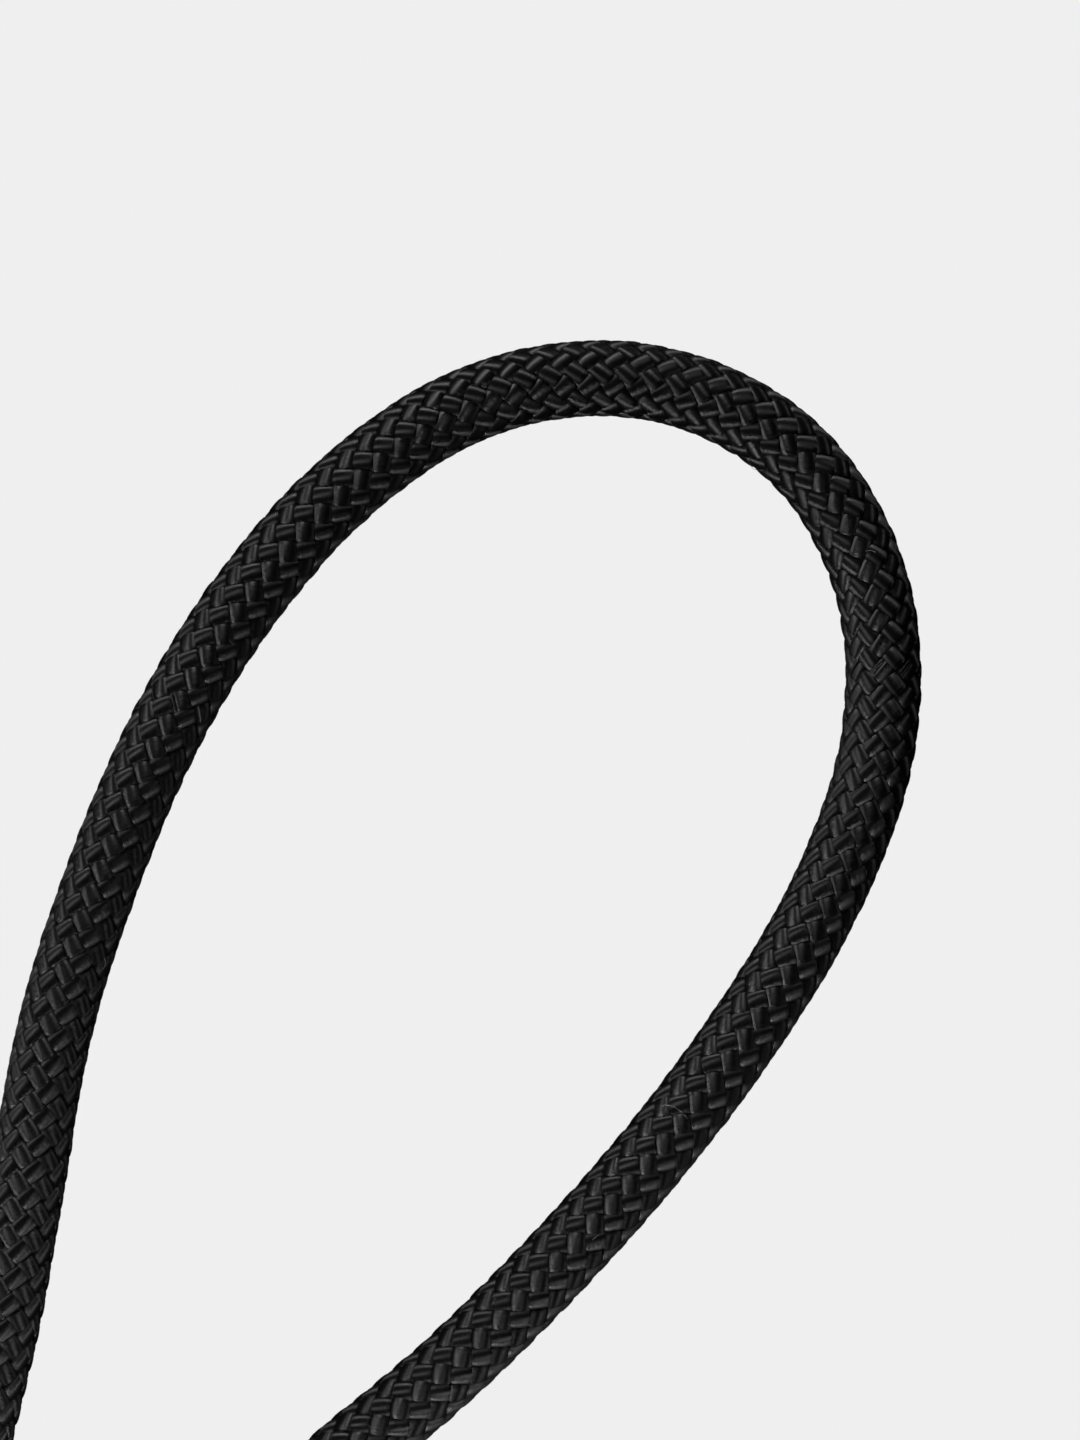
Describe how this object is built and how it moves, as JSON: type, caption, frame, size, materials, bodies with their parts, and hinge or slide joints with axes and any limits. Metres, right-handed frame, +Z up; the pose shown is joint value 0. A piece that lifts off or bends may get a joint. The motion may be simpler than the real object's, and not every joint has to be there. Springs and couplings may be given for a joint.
{
  "type": "usb charging cable",
  "caption": "Braided USB-A to USB-C charging cable with a free loop, a tied coil and a sprung, latching USB-C plug.",
  "frame": {"origin": "centre of the underside of the USB-A housing, on the surface that the cable lies on", "axes": "+Z up from that surface; -Y is the direction in which both plugs point; +X from the USB-A plug towards the USB-C plug"},
  "size_m": [0.0805, 0.1717, 0.0106],
  "materials": {
    "braided_nylon": "black nylon yarn, 16-carrier diamond braid, slight sheen",
    "hook_and_loop": "black hook-and-loop strap",
    "plated_steel": "nickel-plated steel, smooth",
    "tinned_steel": "tinned steel, dull",
    "anodised_housing": "black anodised aluminium, fine bead-blast",
    "moulded_insert": "black moulded plastic",
    "soft_boot": "black soft moulded elastomer",
    "insulator": "black glass-filled plastic",
    "gold_contact": "gold-plated copper alloy",
    "spring_steel": "stainless spring strip",
    "solder": "soft solder",
    "wire_red": "red insulation",
    "wire_white": "white insulation",
    "wire_green": "green insulation",
    "wire_black": "black insulation",
    "board": "green printed board",
    "resistor": "black chip resistor"
  },
  "bodies": {
    "root": {"cable_coil": "braided_nylon", "cable_loop": "braided_nylon", "cable_tail": "braided_nylon", "cable_tie": "hook_and_loop", "usb_a_cord_end": "braided_nylon", "usb_a_data_contacts": "gold_contact", "usb_a_ferrule": "tinned_steel", "usb_a_housing": "anodised_housing", "usb_a_inner_mould": "moulded_insert", "usb_a_insulator": "insulator", "usb_a_lower_can": "tinned_steel", "usb_a_power_contacts": "gold_contact", "usb_a_shell": "plated_steel", "usb_a_solder": "solder", "usb_a_strain_relief": "soft_boot", "usb_a_upper_can": "tinned_steel", "usb_a_wire_black": "wire_black", "usb_a_wire_green": "wire_green", "usb_a_wire_red": "wire_red", "usb_a_wire_white": "wire_white", "usb_c_board": "board", "usb_c_contact_carrier": "insulator", "usb_c_contact_tails": "gold_contact", "usb_c_cord_end": "braided_nylon", "usb_c_ferrule": "tinned_steel", "usb_c_front_insulator": "insulator", "usb_c_housing": "anodised_housing", "usb_c_inner_mould": "moulded_insert", "usb_c_rear_can": "tinned_steel", "usb_c_resistor": "resistor", "usb_c_shell": "plated_steel", "usb_c_solder": "solder", "usb_c_strain_relief": "soft_boot", "usb_c_wire_black": "wire_black", "usb_c_wire_green": "wire_green", "usb_c_wire_red": "wire_red", "usb_c_wire_white": "wire_white"},
    "right_latch": {"usb_c_right_latch": "spring_steel"},
    "left_latch": {"usb_c_left_latch": "spring_steel"},
    "upper_contacts": {"usb_c_upper_contacts": "gold_contact"},
    "lower_contacts": {"usb_c_lower_contacts": "gold_contact"}
  },
  "joints": [
    {"name": "usb_c_right_latch_flex", "type": "hinge", "parent": "root", "child": "right_latch", "pos_m": [0.02198, -0.02335, 0.0034], "axis": [0, 0, 1], "range_deg": [0, 2], "stiffness_Nm_per_rad": 0.3},
    {"name": "usb_c_left_latch_flex", "type": "hinge", "parent": "root", "child": "left_latch", "pos_m": [0.01502, -0.02335, 0.0034], "axis": [0, 0, -1], "range_deg": [0, 2], "stiffness_Nm_per_rad": 0.3},
    {"name": "usb_c_upper_contact_flex", "type": "hinge", "parent": "root", "child": "upper_contacts", "pos_m": [0.0185, -0.0259, 0.00398], "axis": [-1, 0, 0], "range_deg": [0, 1.3], "stiffness_Nm_per_rad": 0.3},
    {"name": "usb_c_lower_contact_flex", "type": "hinge", "parent": "root", "child": "lower_contacts", "pos_m": [0.0185, -0.0259, 0.00282], "axis": [1, 0, 0], "range_deg": [0, 1.3], "stiffness_Nm_per_rad": 0.3}
  ]
}
